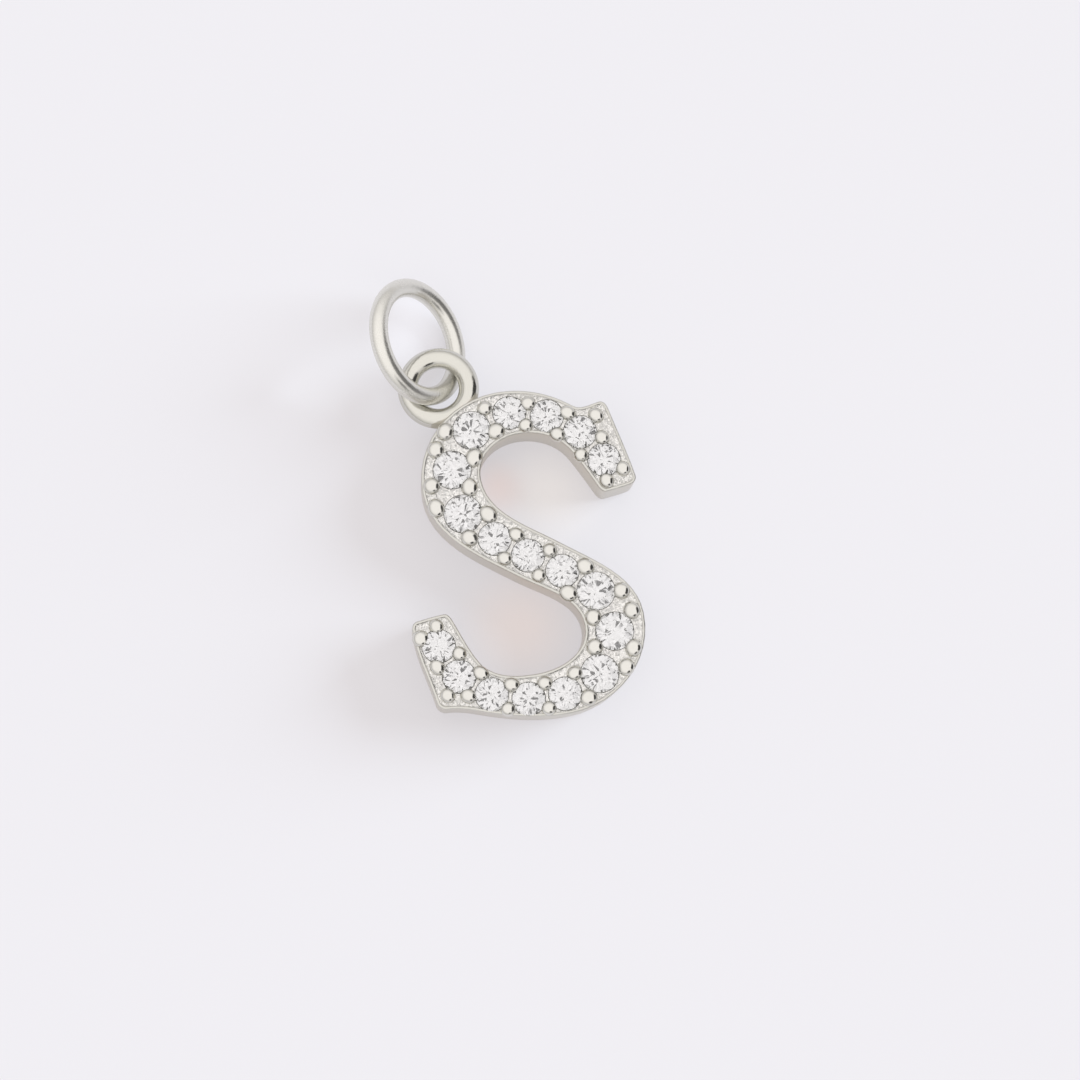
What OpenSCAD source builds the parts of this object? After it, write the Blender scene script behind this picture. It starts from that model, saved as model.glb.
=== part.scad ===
// Initial pendant: a cast letter S, its face set with eighteen cut stones
// held by beads, with a loop soldered to its shoulder and a jump ring in the
// loop. It lies on its back: Z points up out of the face, Y to the letter's
// top, and the origin is under the middle of the letter.
// The letter grows with its stones: its height follows from the row of stones.

/* [Stones] */
// Girdle diameter of a small stone
small_stone_d = 1.0; // [0.85:0.05:1.2]
// Girdle diameter of a large stone, six of which fill the sides of the bowls
large_stone_d = 1.15; // [1:0.05:1.4]
// Metal left between the girdles of two neighbouring small stones
stone_gap = 0.13; // [0.1:0.01:0.2]
// Clearance between a stone and its seat
seat_clear = 0.02; // [0.015:0.005:0.03]
// Depth of a girdle's upper edge below the rim of the letter
girdle_sink = 0.03; // [0.01:0.01:0.06]
// Diameter of the hole drilled through the back under each stone
drill_d = 0.45; // [0.3:0.05:0.6]

/* [Letter] */
// Thickness of the letter from its back to its rim
plate_t = 1.7; // [1.3:0.1:2.2]
// Width of the polished rim round the face
rim_w = 0.1; // [0.06:0.01:0.14]
// Depth of the rough field below the rim
field_sink = 0.05; // [0.03:0.01:0.1]

/* [Beads] */
// Diameter of a bead beside small stones
small_bead_d = 0.4; // [0.34:0.01:0.46]
// Diameter of a bead beside large stones and at the ends of the letter
large_bead_d = 0.47; // [0.4:0.01:0.54]
// Height of a bead's top above the rim
bead_rise = 0.15; // [0.1:0.01:0.2]
// Depth of a bead's root below the rim
bead_root = 0.3; // [0.2:0.05:0.4]

/* [Loop] */
// Diameter of the loop's hole
loop_hole_d = 1.26; // [1.2:0.02:1.6]
// Thickness of the loop's round wire
loop_wire_d = 0.62; // [0.5:0.02:0.7]
// Height of the loop's middle above the back of the letter
loop_z = 1.18; // [1.15:0.01:1.3]
// Depth to which the middle of the loop's wire is soldered into the letter
loop_bite = 0.13; // [0.08:0.01:0.2]

/* [Jump ring] */
// Outer diameter of the jump ring
ring_d = 4.0; // [3.6:0.1:4.4]
// Thickness of the jump ring's wire
ring_wire_d = 0.57; // [0.45:0.01:0.6]
// Angle at which the jump ring leans out of the plane of the letter, in degrees
ring_lean = 47; // [45:1:50]
// Clearance under the jump ring where it comes down to the table
ring_floor_clear = 0.02; // [0.01:0.01:0.04]

/* [Hidden] */

$fn = 64;

metal_colour = "gainsboro";
ring_colour = "silver";
stone_colour = "azure";

// Outline of the letter, anticlockwise from the notch under the upper spur.
// Columns: x and y as shares of the letter's height, and the heading in degrees
outline_nodes = [
    [ 0.245,  0.417,  172], [ 0.212,  0.436,  142], [ 0.000,  0.510,  180],
    [-0.276,  0.245,  270], [-0.040, -0.058,  -38], [ 0.127, -0.240,  -90],
    [-0.035, -0.357, -180], [-0.210, -0.285,  118], [-0.262, -0.150,  110],
    [-0.285, -0.126,  180], [-0.368, -0.132,  186], [-0.387, -0.158,  268],
    [-0.357, -0.384,  -83], [-0.328, -0.411,   -4], [-0.240, -0.433,  -21],
    [ 0.030, -0.492,    0], [ 0.304, -0.245,   90], [ 0.100,  0.024,  141],
    [-0.094,  0.255,   90], [ 0.042,  0.371,    0], [ 0.195,  0.286,  -62],
    [ 0.246,  0.172,  -66], [ 0.270,  0.154,    4], [ 0.346,  0.164,   10],
    [ 0.368,  0.188,   98], [ 0.330,  0.398,  101], [ 0.306,  0.423,  186]
];

// Line on which the stones sit, from the upper end of the letter to the lower.
// Columns as above
row_nodes = [
    [ 0.286,  0.244,  107], [ 0.142,  0.409,  155], [ 0.025,  0.441,  177],
    [-0.185,  0.234,  270], [ 0.000,  0.001,  -38], [ 0.216, -0.240,  -90],
    [ 0.143, -0.393, -143], [ 0.010, -0.433, -180], [-0.190, -0.392,  152],
    [-0.318, -0.218,   98]
];

// Stones along that line. Columns: 1 where the stone is a large one, and the
// gap before it as a share of stone_gap
stone_rows = [
    [0, 0.0], [0, 1.0], [0, 1.0], [0, 1.2], [1, 1.7], [1, 1.8],
    [1, 2.1], [0, 1.2], [0, 1.0], [0, 1.1], [1, 0.9], [1, 1.8],
    [1, 1.9], [0, 1.2], [0, 0.9], [0, 1.0], [0, 1.0], [0, 0.9]
];

// Beads along that line. Columns: the place, where 4.5 is halfway from the
// fourth stone to the fifth, the offset to the left of the line as a share of
// a small stone's diameter, and 1 where the bead is a large one
bead_rows = [
    [ 0.50,  0.10, 1], [ 0.65, -0.42, 1], [ 1.50, -0.33, 0], [ 1.50,  0.50, 0],
    [ 1.93, -0.68, 1], [ 2.53, -0.30, 0], [ 2.53,  0.43, 0], [ 3.53, -0.28, 0],
    [ 3.55,  0.40, 0], [ 4.50, -0.33, 0], [ 4.48,  0.44, 1], [ 5.34, -0.60, 1],
    [ 5.56,  0.54, 1], [ 5.69, -0.62, 1], [ 6.31, -0.62, 1], [ 6.43,  0.52, 1],
    [ 6.68, -0.63, 1], [ 7.50,  0.52, 1], [ 7.50, -0.40, 1], [ 8.47,  0.41, 0],
    [ 8.47, -0.40, 0], [ 9.47,  0.42, 0], [ 9.47, -0.42, 0], [10.45,  0.43, 1],
    [10.40, -0.53, 1], [11.31,  0.58, 1], [11.53, -0.57, 1], [11.66,  0.60, 1],
    [12.29,  0.60, 1], [12.48, -0.54, 1], [12.63,  0.59, 1], [13.54,  0.37, 1],
    [13.56, -0.48, 0], [14.50,  0.33, 0], [14.52, -0.43, 0], [15.52,  0.33, 0],
    [15.50, -0.41, 0], [16.53,  0.32, 0], [16.55, -0.46, 0], [16.91,  0.66, 0],
    [17.54,  0.32, 0], [17.52, -0.45, 0], [18.52, -0.14, 0], [18.36,  0.42, 1]
];

// Place on the shoulder where the loop is soldered, as shares of the letter's
// height, and the direction in which the loop stands off it
shoulder = [-0.149, 0.484];
shoulder_heading = 101;

// Place where the jump ring passes through the loop's hole, from the hole's
// middle, as shares of the hole's diameter
pass_share = [0, -0.13];

// Cut of a stone: all heights and radii are shares of its girdle radius
table_r = 0.56;
star_r = 0.84;
star_h = 0.16;
crown_h = 0.32;
girdle_h = 0.05;
lower_r = 0.22;
pavilion_h = 0.86;
mains = 8;

// Length of a step along a curve of the letter
curve_step = 0.25;

// Curves: a span between two nodes bends like an arc that turns as they do

function turn_of(a, b) = (b[2] - a[2] + 900) % 360 - 180;
function heading(angle) = [cos(angle), sin(angle)];
function reach(a, b) = norm([b[0] - a[0], b[1] - a[1]]) / 3 / pow(cos(turn_of(a, b) / 4), 2);
function handles(a, b) = [
    [a[0], a[1]],
    [a[0], a[1]] + reach(a, b) * heading(a[2]),
    [b[0], b[1]] - reach(a, b) * heading(b[2]),
    [b[0], b[1]]
];
function curve_point(h, t) =
    pow(1 - t, 3) * h[0] + 3 * pow(1 - t, 2) * t * h[1]
    + 3 * (1 - t) * t * t * h[2] + pow(t, 3) * h[3];
function curve_slope(h, t) =
    pow(1 - t, 2) * (h[1] - h[0]) + 2 * (1 - t) * t * (h[2] - h[1]) + t * t * (h[3] - h[2]);
function left_of(v) = [-v[1], v[0]] / norm(v);

// Row of stones: lengths along the line, for a letter of height 1

// Points taken on each span of the line
samples = 24;
row_points = [
    for (i = [0 : len(row_nodes) - 2], k = [0 : samples - 1])
        curve_point(handles(row_nodes[i], row_nodes[i + 1]), k / samples),
    [row_nodes[len(row_nodes) - 1][0], row_nodes[len(row_nodes) - 1][1]]
];
function run_up(points, i = 0, total = 0) =
    i == len(points) - 1 ? [total]
    : concat([total], run_up(points, i + 1, total + norm(points[i + 1] - points[i])));
row_lengths = run_up(row_points);
row_length = row_lengths[len(row_lengths) - 1];

function stone_d(i) = stone_rows[i][0] == 1 ? large_stone_d : small_stone_d;
function station(i) =
    i == 0 ? 0 : station(i - 1) + (stone_d(i - 1) + stone_d(i)) / 2 + stone_rows[i][1] * stone_gap;
stone_count = len(stone_rows);
stations = [for (i = [0 : stone_count - 1]) station(i)];

letter_h = stations[stone_count - 1] / row_length;

// Step from one stone to the next, carried on past the ends of the row
first_step = stations[1] - stations[0];
last_step = stations[stone_count - 1] - stations[stone_count - 2];
function place_to_length(place) =
    place < 1 ? (place - 1) * first_step
    : place > stone_count ? stations[stone_count - 1] + (place - stone_count) * last_step
    : lookup(place, [for (i = [0 : stone_count - 1]) [i + 1, stations[i]]]);

x_by_length = [for (i = [0 : len(row_points) - 1]) [row_lengths[i] * letter_h, row_points[i][0] * letter_h]];
y_by_length = [for (i = [0 : len(row_points) - 1]) [row_lengths[i] * letter_h, row_points[i][1] * letter_h]];
row_end = row_length * letter_h;
function on_row(s) = [lookup(s, x_by_length), lookup(s, y_by_length)];
// Length on each side of a place over which the line's direction is taken
slope_reach = 0.05;
function row_heading(s) =
    on_row(min(s + slope_reach, row_end)) - on_row(max(s - slope_reach, 0));
function row_point(s) =
    let (held = min(max(s, 0), row_end), along = row_heading(held) / norm(row_heading(held)))
    on_row(held) + (s - held) * along;

// Heights

field_z = plate_t - field_sink;
girdle_top = plate_t - girdle_sink;

// Loop and jump ring

loop_r = (loop_hole_d + loop_wire_d) / 2;
loop_centre = shoulder * letter_h + (loop_r - loop_bite) * heading(shoulder_heading);

ring_r = (ring_d - ring_wire_d) / 2;
ring_z = ring_floor_clear + ring_wire_d / 2 + ring_r * sin(ring_lean);
// Turn along the ring from its level axis to where it passes the loop
pass_rise = (loop_z - ring_z) / (ring_r * sin(ring_lean));
pass_run = -sqrt(1 - pass_rise * pass_rise);
ring_centre = loop_centre + pass_share * loop_hole_d
    + ring_r * [pass_rise * cos(ring_lean), -pass_run];

// Letter, with the points of its outline moved inwards by inset

function outline(inset = 0) = [
    for (i = [0 : len(outline_nodes) - 1])
        let (
            h = handles(outline_nodes[i], outline_nodes[(i + 1) % len(outline_nodes)]) * letter_h,
            steps = max(3, ceil(norm(h[3] - h[0]) / curve_step))
        )
        for (k = [0 : steps - 1])
            curve_point(h, k / steps) + inset * left_of(curve_slope(h, k / steps))
];

module letter_plate() {
    difference() {
        linear_extrude(plate_t) polygon(outline());
        translate([0, 0, field_z]) linear_extrude(plate_t) polygon(outline(rim_w));
    }
}

// A bead: a post rooted in the plate under a round head
module bead(d) {
    head_z = plate_t + bead_rise - d / 2;
    rotate_extrude() {
        translate([0, plate_t - bead_root]) square([d / 2, head_z - plate_t + bead_root]);
        intersection() {
            translate([0, head_z]) circle(d = d);
            translate([0, head_z]) square(d / 2);
        }
    }
}

module beads() {
    for (row = bead_rows) {
        s = place_to_length(row[0]);
        side = left_of(row_heading(min(max(s, 0), row_end)));
        place = row_point(s) + row[1] * small_stone_d * side;
        translate([place[0], place[1], 0]) bead(row[2] == 1 ? large_bead_d : small_bead_d);
    }
}

// The space of a stone with its clearance, and the hole drilled under it
module seat(d) {
    r = d / 2;
    side = r + seat_clear;
    ledge = girdle_top - girdle_h * r - seat_clear;
    drill_top = ledge - pavilion_h * (side - drill_d / 2);
    rotate_extrude() polygon([
        [0, -plate_t],
        [drill_d / 2, -plate_t],
        [drill_d / 2, drill_top],
        [side, ledge],
        [side, girdle_top + seat_clear / 2],
        [star_r * r + seat_clear, girdle_top + star_h * r + seat_clear],
        [table_r * r + seat_clear, girdle_top + crown_h * r + seat_clear],
        [table_r * r + seat_clear, plate_t + d],
        [0, plate_t + d]
    ]);
}

module seats() {
    for (i = [0 : stone_count - 1]) {
        place = row_point(stations[i]);
        translate([place[0], place[1], 0]) seat(stone_d(i));
    }
}

module loop() {
    translate([loop_centre[0], loop_centre[1], loop_z])
        rotate_extrude() translate([loop_r, 0]) circle(d = loop_wire_d);
}

module letter_setting() {
    color(metal_colour) difference() {
        union() {
            letter_plate();
            beads();
            loop();
        }
        seats();
    }
}

module jump_ring() {
    color(ring_colour)
        translate([ring_centre[0], ring_centre[1], ring_z])
        rotate([0, ring_lean, 0])
        rotate_extrude() translate([ring_r, 0]) circle(d = ring_wire_d);
}

// Stones

function ring_of(count, r, z, start = 0) =
    [for (k = [0 : count - 1]) [r * cos(start + k * 360 / count), r * sin(start + k * 360 / count), z]];

// Corners of a round brilliant with its girdle's upper edge at z = 0
function brilliant(r) = concat(
    ring_of(mains, table_r * r, crown_h * r),
    ring_of(mains, star_r * r, star_h * r, 180 / mains),
    ring_of(2 * mains, r, 0),
    ring_of(2 * mains, r, -girdle_h * r),
    ring_of(mains, lower_r * r, -(girdle_h + pavilion_h * (1 - lower_r)) * r, 180 / mains),
    [[0, 0, -(girdle_h + pavilion_h) * r]]
);

module cut_stone(d) {
    corners = brilliant(d / 2);
    hull() polyhedron(points = corners, faces = [[for (k = [0 : len(corners) - 1]) k]]);
}

module stone(number) {
    place = row_point(stations[number - 1]);
    along = row_heading(stations[number - 1]);
    color(stone_colour)
        translate([place[0], place[1], girdle_top])
        rotate([0, 0, atan2(along[1], along[0])])
        cut_stone(stone_d(number - 1));
}

letter_setting();
jump_ring();
stone(1);  // stone_01
stone(2);  // stone_02
stone(3);  // stone_03
stone(4);  // stone_04
stone(5);  // stone_05
stone(6);  // stone_06
stone(7);  // stone_07
stone(8);  // stone_08
stone(9);  // stone_09
stone(10);  // stone_10
stone(11);  // stone_11
stone(12);  // stone_12
stone(13);  // stone_13
stone(14);  // stone_14
stone(15);  // stone_15
stone(16);  // stone_16
stone(17);  // stone_17
stone(18);  // stone_18
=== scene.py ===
import math
import random

import bmesh
import bpy
from mathutils import Matrix, Vector, kdtree, noise
from mathutils.geometry import interpolate_bezier


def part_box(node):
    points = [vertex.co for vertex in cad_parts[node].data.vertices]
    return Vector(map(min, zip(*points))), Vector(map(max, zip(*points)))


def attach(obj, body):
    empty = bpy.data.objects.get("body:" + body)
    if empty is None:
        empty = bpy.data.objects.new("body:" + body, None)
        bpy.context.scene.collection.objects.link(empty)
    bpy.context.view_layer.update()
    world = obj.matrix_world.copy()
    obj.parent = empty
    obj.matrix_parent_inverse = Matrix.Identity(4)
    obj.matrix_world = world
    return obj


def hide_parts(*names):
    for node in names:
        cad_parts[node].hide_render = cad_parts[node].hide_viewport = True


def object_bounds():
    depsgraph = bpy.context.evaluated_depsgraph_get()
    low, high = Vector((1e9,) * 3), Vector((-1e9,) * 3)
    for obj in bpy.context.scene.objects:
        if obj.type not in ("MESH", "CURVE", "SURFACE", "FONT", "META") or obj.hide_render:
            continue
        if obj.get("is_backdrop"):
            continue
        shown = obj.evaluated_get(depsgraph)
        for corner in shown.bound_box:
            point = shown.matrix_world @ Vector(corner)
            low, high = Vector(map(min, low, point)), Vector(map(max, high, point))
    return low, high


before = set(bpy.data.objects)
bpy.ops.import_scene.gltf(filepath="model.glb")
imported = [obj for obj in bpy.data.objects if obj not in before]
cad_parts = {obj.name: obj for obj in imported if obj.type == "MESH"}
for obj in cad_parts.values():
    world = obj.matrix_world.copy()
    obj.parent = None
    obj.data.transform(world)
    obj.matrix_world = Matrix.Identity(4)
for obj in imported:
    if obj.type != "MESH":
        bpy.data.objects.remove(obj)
cad_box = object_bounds()

bl_info = {
    "name": "Letter charm set with stones",
    "version": (1, 0, 0),
    "blender": (4, 5, 0),
    "location": "View3D > Sidebar > Charm",
    "description": "Models a cast letter charm with bead-set stones, a soldered loop and a jump ring",
    "category": "Object",
}

MM = 0.001

# Distance in metres under which two points count as one
CLOSE = 1e-6

SETTING_NODE = "letter_setting"
RING_NODE = "jump_ring"

# Outline of the letter, anticlockwise from the notch under the upper spur.
# Columns: x and y as shares of the letter's height, and the heading in degrees
OUTLINE = [
    (0.245, 0.417, 172), (0.212, 0.436, 142), (0.000, 0.510, 180), (-0.276, 0.245, 270),
    (-0.040, -0.058, -38), (0.127, -0.240, -90), (-0.035, -0.357, -180), (-0.210, -0.285, 118),
    (-0.262, -0.150, 110), (-0.285, -0.126, 180), (-0.368, -0.132, 186), (-0.387, -0.158, 268),
    (-0.357, -0.384, -83), (-0.328, -0.411, -4), (-0.240, -0.433, -21), (0.036, -0.494, 0),
    (0.311, -0.238, 90), (0.100, 0.024, 141), (-0.094, 0.255, 90), (0.042, 0.371, 0),
    (0.195, 0.286, -62), (0.250, 0.170, -66), (0.277, 0.146, 6), (0.350, 0.154, 10),
    (0.371, 0.180, 98), (0.330, 0.398, 101), (0.306, 0.423, 186),
]

# Line on which the stones sit, from the upper end of the letter to the lower
ROW = [
    (0.286, 0.244, 107), (0.142, 0.409, 155), (0.025, 0.441, 177), (-0.185, 0.234, 270),
    (0.000, 0.001, -38), (0.216, -0.240, -90), (0.143, -0.393, -143), (0.010, -0.433, -180),
    (-0.190, -0.392, 152), (-0.318, -0.218, 98),
]

# Stones along that line. Columns: 1 where the stone is a large one, and the gap
# before it as a share of the gap between small stones
STONES = [
    (0, 0.0), (0, 1.0), (0, 1.0), (0, 1.2), (1, 1.7), (1, 1.8), (1, 2.1), (0, 1.2), (0, 1.0),
    (0, 1.1), (1, 0.9), (1, 1.8), (1, 1.9), (0, 1.2), (0, 0.9), (0, 1.0), (0, 1.0), (0, 0.9),
]

# Beads along that line. Columns: the place, where 4.5 is halfway from the fourth
# stone to the fifth, the offset to the left of the line as a share of a small
# stone's diameter, and 1 where the bead is a large one
BEADS = [
    (0.47, 0.25, 0), (0.55, -0.36, 0), (1.50, -0.33, 0), (1.50, 0.50, 0), (1.95, -0.70, 0),
    (2.53, -0.30, 0), (2.53, 0.43, 0), (3.53, -0.28, 0), (3.55, 0.40, 0), (4.50, -0.33, 0),
    (4.48, 0.44, 1), (5.34, -0.60, 1), (5.56, 0.54, 1), (5.69, -0.62, 1), (6.31, -0.62, 1),
    (6.43, 0.52, 1), (6.68, -0.63, 1), (7.50, 0.52, 1), (7.50, -0.40, 1), (8.47, 0.41, 0),
    (8.47, -0.40, 0), (9.47, 0.42, 0), (9.47, -0.42, 0), (10.45, 0.43, 1), (10.40, -0.53, 1),
    (11.31, 0.58, 1), (11.53, -0.57, 1), (11.66, 0.60, 1), (12.29, 0.60, 1), (12.48, -0.54, 1),
    (12.63, 0.565, 1), (13.54, 0.37, 1), (13.56, -0.48, 0), (14.50, 0.33, 0), (14.52, -0.43, 0),
    (15.52, 0.33, 0), (15.50, -0.41, 0), (16.53, 0.32, 0), (16.55, -0.46, 0), (16.91, 0.66, 0),
    (17.54, 0.32, 0), (17.52, -0.45, 0), (18.52, -0.14, 0), (18.36, 0.42, 1),
]

# Place on the shoulder where the loop is soldered, as shares of the letter's
# height, and the direction in degrees in which the loop stands off it
SHOULDER = (-0.149, 0.484)
SHOULDER_HEADING = 101

# Cut of a stone: all heights and radii are shares of its girdle radius
TABLE_R, STAR_R, LOWER_R = 0.56, 0.84, 0.22
CROWN_H, GIRDLE_H, PAVILION_H = 0.32, 0.05, 0.86
MAINS = 8
STAR_H = CROWN_H * (1 - STAR_R * math.cos(math.pi / MAINS)) / (1 - TABLE_R)
LOWER_H = -GIRDLE_H - PAVILION_H * (1 - LOWER_R * math.cos(math.pi / MAINS))

# Steps of one span: of the outline as it is modelled, of the outline where its distance
# is measured, and of the line of stones
SPAN_STEPS, EDGE_STEPS, ROW_STEPS = 12, 64, 24


def length(name, text, value, low, high):
    """A length that the sidebar shows, given in millimetres."""
    return bpy.props.FloatProperty(
        name=name, description=text, default=value * MM, min=low * MM, max=high * MM,
        precision=5, unit="LENGTH",
    )


def colour(name, text, value):
    """A colour that the sidebar shows."""
    return bpy.props.FloatVectorProperty(
        name=name, description=text, default=value, min=0, max=1, size=3, subtype="COLOR",
    )


class CharmLetter(bpy.types.PropertyGroup):
    """Sizes of the letter, its beads and its loop"""

    thickness: length("Thickness", "From the back of the letter to its rim", 1.7, 1.3, 2.2)
    rim: length("Rim", "Width of the smooth rim round the face", 0.075, 0.06, 0.14)
    slope: length("Rim slope", "Width of the slope from the rim down to the field", 0.07, 0.03, 0.1)
    sink: length("Field depth", "Depth of the grained field below the rim", 0.05, 0.03, 0.1)
    edge: length("Edge rounding", "Radius of the outer edges", 0.05, 0.01, 0.07)
    grain: length("Grain", "Height of the field's grain", 0.016, 0, 0.04)
    small_bead: length("Small bead", "Diameter of a bead beside small stones", 0.46, 0.36, 0.5)
    large_bead: length("Large bead", "Diameter of a bead beside large stones", 0.53, 0.42, 0.56)
    bead_rise: length("Bead rise", "Height of a bead's top above the rim", 0.15, 0.1, 0.2)
    loop_hole: length("Loop hole", "Diameter of the loop's hole", 1.26, 1.2, 1.6)
    loop_wire: length("Loop wire", "Thickness of the loop's wire", 0.62, 0.5, 0.7)
    loop_z: length("Loop height", "Height of the loop's middle above the back", 1.18, 1.15, 1.3)
    loop_bite: length("Loop bite", "Depth to which the loop is soldered in", 0.13, 0.08, 0.2)


class CharmStones(bpy.types.PropertyGroup):
    """Sizes of the stones and their seats"""

    small: length("Small stone", "Girdle diameter of a small stone", 1.0, 0.85, 1.2)
    large: length("Large stone", "Girdle diameter of a large stone", 1.15, 1, 1.4)
    gap: length("Gap", "Metal between the girdles of two small stones", 0.13, 0.1, 0.2)
    clear: length("Clearance", "Clearance between a stone and its seat", 0.02, 0.015, 0.03)
    sink: length("Sink", "Depth of a girdle's upper edge below the rim", 0.03, 0.01, 0.06)
    drill: length("Drill", "Diameter of the hole under each stone", 0.45, 0.3, 0.6)


class CharmRing(bpy.types.PropertyGroup):
    """Sizes and lean of the jump ring"""

    wire: length("Wire", "Thickness of the jump ring's wire", 0.57, 0.45, 0.6)
    across: length("Diameter", "Outer diameter of the jump ring", 4.0, 3.6, 4.4)
    lean: bpy.props.FloatProperty(
        name="Lean", description="Angle between the jump ring and the table",
        default=math.radians(47), subtype="ANGLE",
    )


class CharmFinish(bpy.types.PropertyGroup):
    """Colours of the metal, the stones and the floor"""

    silver: colour("Silver", "Colour of the polished metal", (0.72, 0.712, 0.67))
    loop: colour("Loop silver", "Colour of the loop", (0.675, 0.667, 0.615))
    ring: colour("Ring silver", "Colour of the jump ring", (0.78, 0.772, 0.725))
    satin: colour("Satin silver", "Colour of the side walls and the back", (0.672, 0.64, 0.575))
    rim: colour("Rim silver", "Colour of the rim round the face", (0.645, 0.638, 0.595))
    grained: colour("Grained silver", "Colour of the rough field", (0.95, 0.942, 0.915))
    stone: colour("Stone", "Colour of the stones", (0.90, 0.905, 0.91))
    floor: colour("Floor", "Colour of the floor", (0.246, 0.230, 0.225))


def sizes(group):
    """The sidebar's values of one group."""
    return getattr(bpy.context.scene, "charm_" + group)


# Curves of the letter


def heading(angle):
    """Unit vector at an angle in degrees."""
    return Vector((math.cos(math.radians(angle)), math.sin(math.radians(angle)), 0))


def left_of(along):
    """Unit vector to the left of a direction."""
    return Vector((-along.y, along.x, 0)).normalized()


def arc_span(a, b):
    """Four control points of a span that bends like an arc from node a to node b."""
    start, end = Vector((a[0], a[1], 0)), Vector((b[0], b[1], 0))
    turn = (b[2] - a[2] + 180) % 360 - 180
    reach = (end - start).length / 3 / math.cos(math.radians(turn / 4)) ** 2
    return start, start + reach * heading(a[2]), end - reach * heading(b[2]), end


class Row:
    """The line of stones, at its real size."""

    slope_reach = 0.05 * MM

    def __init__(self):
        stones = sizes("stones")
        self.diameters = [stones.large if large else stones.small for large, _ in STONES]
        self.stations = [0.0]
        for i in range(1, len(STONES)):
            step = (self.diameters[i - 1] + self.diameters[i]) / 2 + STONES[i][1] * stones.gap
            self.stations.append(self.stations[-1] + step)
        points = []
        for a, b in zip(ROW, ROW[1:]):
            points += interpolate_bezier(*arc_span(a, b), ROW_STEPS + 1)[:-1]
        points.append(Vector((ROW[-1][0], ROW[-1][1], 0)))
        runs = [0.0]
        for a, b in zip(points, points[1:]):
            runs.append(runs[-1] + (b - a).length)
        self.height = self.stations[-1] / runs[-1]
        self.points = [p * self.height for p in points]
        self.runs = [r * self.height for r in runs]

    def on_line(self, s):
        """Point at length s, between the ends of the line."""
        for i in range(1, len(self.runs)):
            if s <= self.runs[i] or i == len(self.runs) - 1:
                share = (s - self.runs[i - 1]) / (self.runs[i] - self.runs[i - 1])
                return self.points[i - 1].lerp(self.points[i], share)

    def along(self, s):
        """Direction of the line at length s, carried on past its ends."""
        held = min(max(s, 0.0), self.runs[-1])
        ahead = self.on_line(min(held + self.slope_reach, self.runs[-1]))
        return (ahead - self.on_line(max(held - self.slope_reach, 0.0))).normalized()

    def point(self, s):
        """Point at length s, carried on straight past the ends of the line."""
        held = min(max(s, 0.0), self.runs[-1])
        return self.on_line(held) + (s - held) * self.along(held)

    def length_at(self, place):
        """Length at a place counted in stones, from 1."""
        last = len(self.stations)
        if place < 1:
            return (place - 1) * self.stations[1]
        if place > last:
            return self.stations[-1] + (place - last) * (self.stations[-1] - self.stations[-2])
        i = min(int(place), last - 1)
        return self.stations[i - 1] + (place - i) * (self.stations[i] - self.stations[i - 1])


def bead_places(row):
    """Middle and diameter of each bead, and the angle of the line of stones beside it."""
    letter, stones = sizes("letter"), sizes("stones")
    for place, offset, large in BEADS:
        s = row.length_at(place)
        along = row.along(s)
        middle = row.point(s) + offset * stones.small * left_of(along)
        diameter = letter.large_bead if large else letter.small_bead
        yield middle, diameter, math.atan2(along.y, along.x)


# Modelling


def clear_choice():
    """Leaves edit mode with nothing selected, so that an operator acts on its own piece."""
    if bpy.context.mode != "OBJECT":
        bpy.ops.object.mode_set(mode="OBJECT")
    bpy.ops.object.select_all(action="DESELECT")


def choose(*pieces):
    """Selects pieces, the first of them active."""
    clear_choice()
    for piece in pieces:
        piece.select_set(True)
    bpy.context.view_layer.objects.active = pieces[0]


def edit(piece):
    """Opens a piece in edit mode."""
    choose(piece)
    bpy.ops.object.mode_set(mode="EDIT")


def pick(kind, test):
    """Selects the vertices, edges or faces of the open piece for which test is true."""
    bpy.ops.mesh.select_mode(type=kind)
    bpy.ops.mesh.select_all(action="DESELECT")
    mesh = bpy.context.object.data
    shape = bmesh.from_edit_mesh(mesh)
    items = {"VERT": shape.verts, "EDGE": shape.edges, "FACE": shape.faces}[kind]
    for item in items:
        if test(item):
            item.select_set(True)
    shape.select_flush_mode()
    bmesh.update_edit_mesh(mesh)


def at_height(z):
    """Test for an edge both of whose ends lie at height z."""
    return lambda edge: all(abs(v.co.z - z) < CLOSE for v in edge.verts)


def raise_up(height):
    """Extrudes what is selected straight up."""
    bpy.ops.mesh.extrude_region_move(TRANSFORM_OT_translate={"value": (0, 0, height)})


def close_up():
    """Turns the open piece's faces outwards and leaves edit mode."""
    bpy.ops.mesh.select_all(action="SELECT")
    bpy.ops.mesh.normals_make_consistent(inside=False)
    bpy.ops.object.mode_set(mode="OBJECT")


def settle(piece):
    """Puts the place and turn of a piece into its mesh."""
    choose(piece)
    bpy.ops.object.transform_apply(location=True, rotation=True, scale=True)


def named(name):
    """Names the active object and its mesh."""
    piece = bpy.context.object
    piece.name = piece.data.name = name
    return piece


def moved_copy(piece, move):
    """A copy of a piece with a mesh of its own, put in place by a matrix."""
    twin = piece.copy()
    twin.data = piece.data.copy()
    twin.data.transform(move)
    bpy.context.collection.objects.link(twin)
    return twin


def join(pieces, name):
    """Joins pieces into the first of them."""
    choose(*pieces)
    bpy.ops.object.join()
    return named(name)


def discard(*pieces):
    """Deletes pieces that were only a help."""
    for piece in pieces:
        bpy.data.objects.remove(piece)


def carve(piece, tool, operation):
    """Joins a tool to a piece, cuts it away or keeps what both share, and discards it."""
    choose(piece)
    modifier = piece.modifiers.new(operation, "BOOLEAN")
    modifier.operation, modifier.solver, modifier.object = operation, "MANIFOLD", tool
    bpy.ops.object.modifier_apply(modifier=modifier.name)
    discard(tool)


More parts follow.
